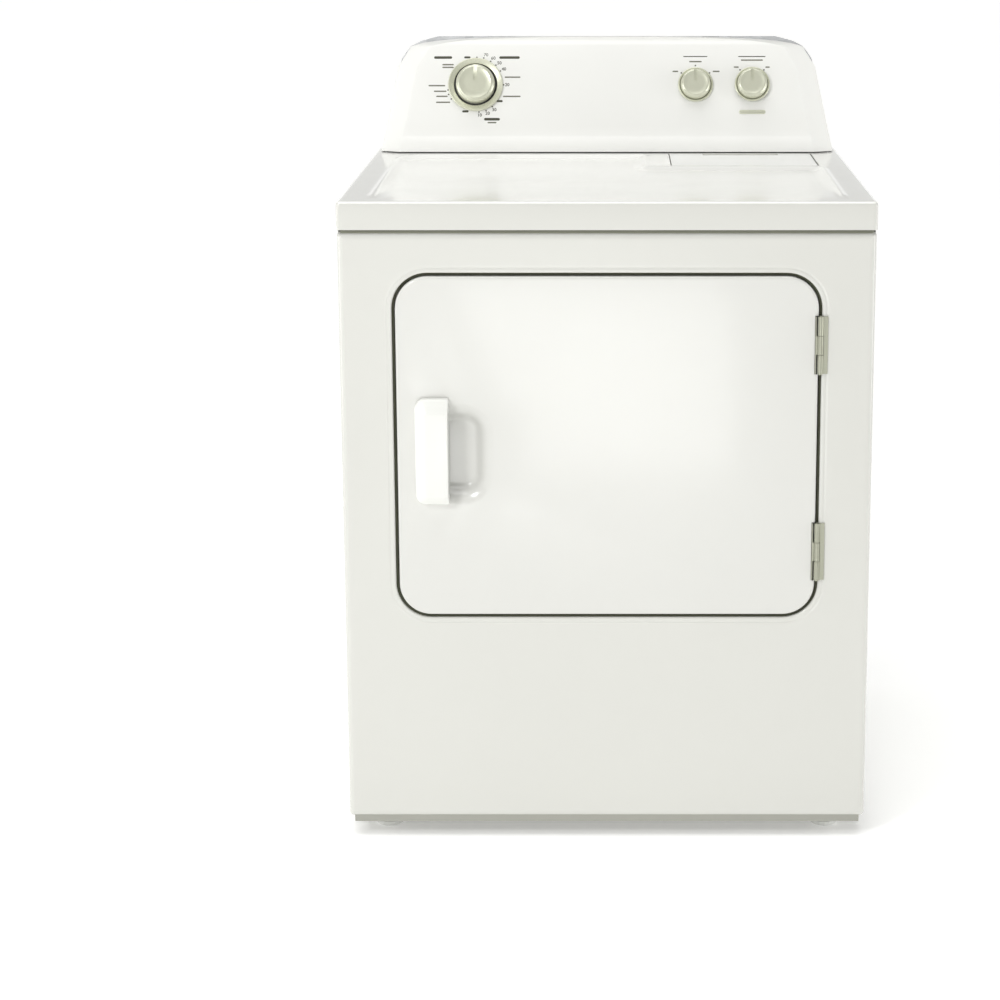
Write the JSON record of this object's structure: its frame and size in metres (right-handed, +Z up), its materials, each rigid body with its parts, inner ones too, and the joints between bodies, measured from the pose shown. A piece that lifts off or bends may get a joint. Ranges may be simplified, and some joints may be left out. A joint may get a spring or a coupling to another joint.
{
  "type": "clothes dryer",
  "caption": "White front-loading tumble dryer with side-hinged door, sloped control console, top lint screen and rear exhaust collar.",
  "frame": {"origin": "on the floor, under the middle of the machine's outer box", "axes": "+X to the right seen from the front, +Y from the front to the back, +Z up; the door faces -Y"},
  "size_m": [0.7366, 0.717, 1.092],
  "materials": {
    "enamel_cabinet": "gloss white baked enamel",
    "enamel_door": "gloss white baked enamel",
    "console_plastic": "satin gloss white moulded plastic",
    "handle_plastic": "gloss white moulded plastic",
    "knob_metallic": "champagne metallic paint over moulded plastic",
    "hinge_steel": "bare nickel-plated steel",
    "galvanised": "galvanised sheet steel",
    "base_steel": "dark painted base steel",
    "drum_enamel": "satin grey-white drum enamel",
    "motor_steel": "dark painted motor shell",
    "shaft_steel": "turned steel",
    "grey_plastic": "moulded grey plastic",
    "black_plastic": "moulded black plastic",
    "foot_plastic": "pale grey moulded plastic",
    "black_rubber": "matte black rubber",
    "felt": "pressed grey wool felt",
    "lint_frame": "white moulded frame with fine mesh",
    "heater_wire": "heat-darkened resistance wire"
  },
  "bodies": {
    "cabinet": {"base_pan": "base_steel", "left_side_panel": "enamel_cabinet", "right_side_panel": "enamel_cabinet", "rear_panel": "galvanised", "front_panel": "enamel_cabinet", "top_panel": "enamel_cabinet", "front_bulkhead": "galvanised", "rear_bulkhead": "galvanised", "front_glide_ring": "grey_plastic", "rear_felt_seal": "felt", "console_fascia": "console_plastic", "console_rear_cover": "galvanised", "timer_body": "grey_plastic", "temperature_switch": "grey_plastic", "start_switch": "grey_plastic", "upper_hinge_cabinet_leaf": "hinge_steel", "lower_hinge_cabinet_leaf": "hinge_steel", "upper_hinge_pin": "hinge_steel", "lower_hinge_pin": "hinge_steel", "door_catch": "grey_plastic", "door_switch": "grey_plastic", "drive_belt": "black_rubber", "motor_housing": "motor_steel", "motor_bracket": "galvanised", "idler_bracket": "galvanised", "blower_housing": "grey_plastic", "exhaust_duct": "galvanised", "lint_duct": "grey_plastic", "heater_box": "galvanised", "heater_element": "heater_wire", "terminal_block_cover": "galvanised", "rear_left_roller_shaft": "shaft_steel", "rear_right_roller_shaft": "shaft_steel"},
    "door": {"door_outer_panel": "enamel_door", "door_inner_panel": "enamel_cabinet", "door_handle": "handle_plastic", "door_seal": "felt", "door_strike": "hinge_steel", "upper_hinge_door_leaf": "hinge_steel", "lower_hinge_door_leaf": "hinge_steel"},
    "drum": {"drum_cylinder": "drum_enamel", "drum_baffle_1": "drum_enamel", "drum_baffle_2": "drum_enamel", "drum_baffle_3": "drum_enamel"},
    "motor_rotor": {"motor_shaft": "shaft_steel", "blower_wheel": "grey_plastic"},
    "idler_arm": {"idler_arm": "galvanised"},
    "idler_wheel": {"idler_wheel": "grey_plastic"},
    "left_roller": {"rear_left_roller": "black_rubber"},
    "right_roller": {"rear_right_roller": "black_rubber"},
    "lint_screen": {"lint_screen": "lint_frame"},
    "timer_knob": {"timer_knob": "knob_metallic"},
    "temperature_knob": {"temperature_knob": "knob_metallic"},
    "start_plunger": {"start_shaft": "grey_plastic"},
    "start_knob": {"start_knob": "knob_metallic"},
    "switch_button": {"door_switch_button": "black_plastic"},
    "front_left_foot": {"front_left_foot": "foot_plastic"},
    "front_right_foot": {"front_right_foot": "foot_plastic"},
    "rear_left_foot": {"rear_left_foot": "foot_plastic"},
    "rear_right_foot": {"rear_right_foot": "foot_plastic"}
  },
  "joints": [
    {"name": "door_hinge", "type": "hinge", "parent": "cabinet", "child": "door", "pos_m": [0.2925, -0.3375, 0.5716], "axis": [0, 0, 1], "range_deg": [0, 170]},
    {"name": "drum_spin", "type": "hinge", "parent": "cabinet", "child": "drum", "pos_m": [0, -0.05, 0.525], "axis": [0, 1, 0], "continuous": true},
    {"name": "motor_spin", "type": "hinge", "parent": "cabinet", "child": "motor_rotor", "pos_m": [0.12, 0, 0.125], "axis": [0, 1, 0], "continuous": true},
    {"name": "left_roller_spin", "type": "hinge", "parent": "cabinet", "child": "left_roller", "pos_m": [-0.22866, 0.15, 0.23233], "axis": [0, 1, 0], "continuous": true},
    {"name": "right_roller_spin", "type": "hinge", "parent": "cabinet", "child": "right_roller", "pos_m": [0.22866, 0.15, 0.23233], "axis": [0, 1, 0], "continuous": true},
    {"name": "idler_swing", "type": "hinge", "parent": "cabinet", "child": "idler_arm", "pos_m": [0.045, -0.055, 0.07], "axis": [0, 1, 0], "range_deg": [0, 12], "stiffness_Nm_per_rad": 6, "springref_deg": -5.73},
    {"name": "idler_spin", "type": "hinge", "parent": "idler_arm", "child": "idler_wheel", "pos_m": [-0.02, -0.035, 0.115], "axis": [0, 1, 0], "continuous": true},
    {"name": "lint_screen_lift", "type": "slide", "parent": "cabinet", "child": "lint_screen", "axis": [0, 0, 1], "range_m": [0, 0.42]},
    {"name": "timer_turn", "type": "hinge", "parent": "cabinet", "child": "timer_knob", "pos_m": [-0.209, 0.29673, 1.018], "axis": [0, -0.9369, 0.3496], "continuous": true},
    {"name": "temperature_turn", "type": "hinge", "parent": "cabinet", "child": "temperature_knob", "pos_m": [0.141, 0.29673, 1.018], "axis": [0, -0.9369, 0.3496], "range_deg": [-45, 45]},
    {"name": "start_push", "type": "slide", "parent": "cabinet", "child": "start_plunger", "axis": [0, 0.9369, -0.3496], "range_m": [0, 0.003], "stiffness_N_per_m": 600},
    {"name": "start_turn", "type": "hinge", "parent": "start_plunger", "child": "start_knob", "pos_m": [0.231, 0.29673, 1.018], "axis": [0, -0.9369, 0.3496], "range_deg": [-25, 25]},
    {"name": "switch_travel", "type": "slide", "parent": "cabinet", "child": "switch_button", "axis": [0, -1, 0], "range_m": [0, 0.0051]},
    {"name": "front_left_foot_height", "type": "slide", "parent": "cabinet", "child": "front_left_foot", "axis": [0, 0, -1], "range_m": [0, 0.02]},
    {"name": "rear_left_foot_height", "type": "slide", "parent": "cabinet", "child": "rear_left_foot", "axis": [0, 0, -1], "range_m": [0, 0.02]},
    {"name": "front_right_foot_height", "type": "slide", "parent": "cabinet", "child": "front_right_foot", "axis": [0, 0, -1], "range_m": [0, 0.02]},
    {"name": "rear_right_foot_height", "type": "slide", "parent": "cabinet", "child": "rear_right_foot", "axis": [0, 0, -1], "range_m": [0, 0.02]}
  ],
  "couplings": [
    {"joint": "motor_spin", "follows": "drum_spin", "ratio": 34},
    {"joint": "left_roller_spin", "follows": "drum_spin", "ratio": -8.763},
    {"joint": "right_roller_spin", "follows": "drum_spin", "ratio": -8.763},
    {"joint": "idler_spin", "follows": "drum_spin", "ratio": 15.14},
    {"joint": "switch_travel", "follows": "door_hinge", "m_per_rad": 0.001685}
  ]
}
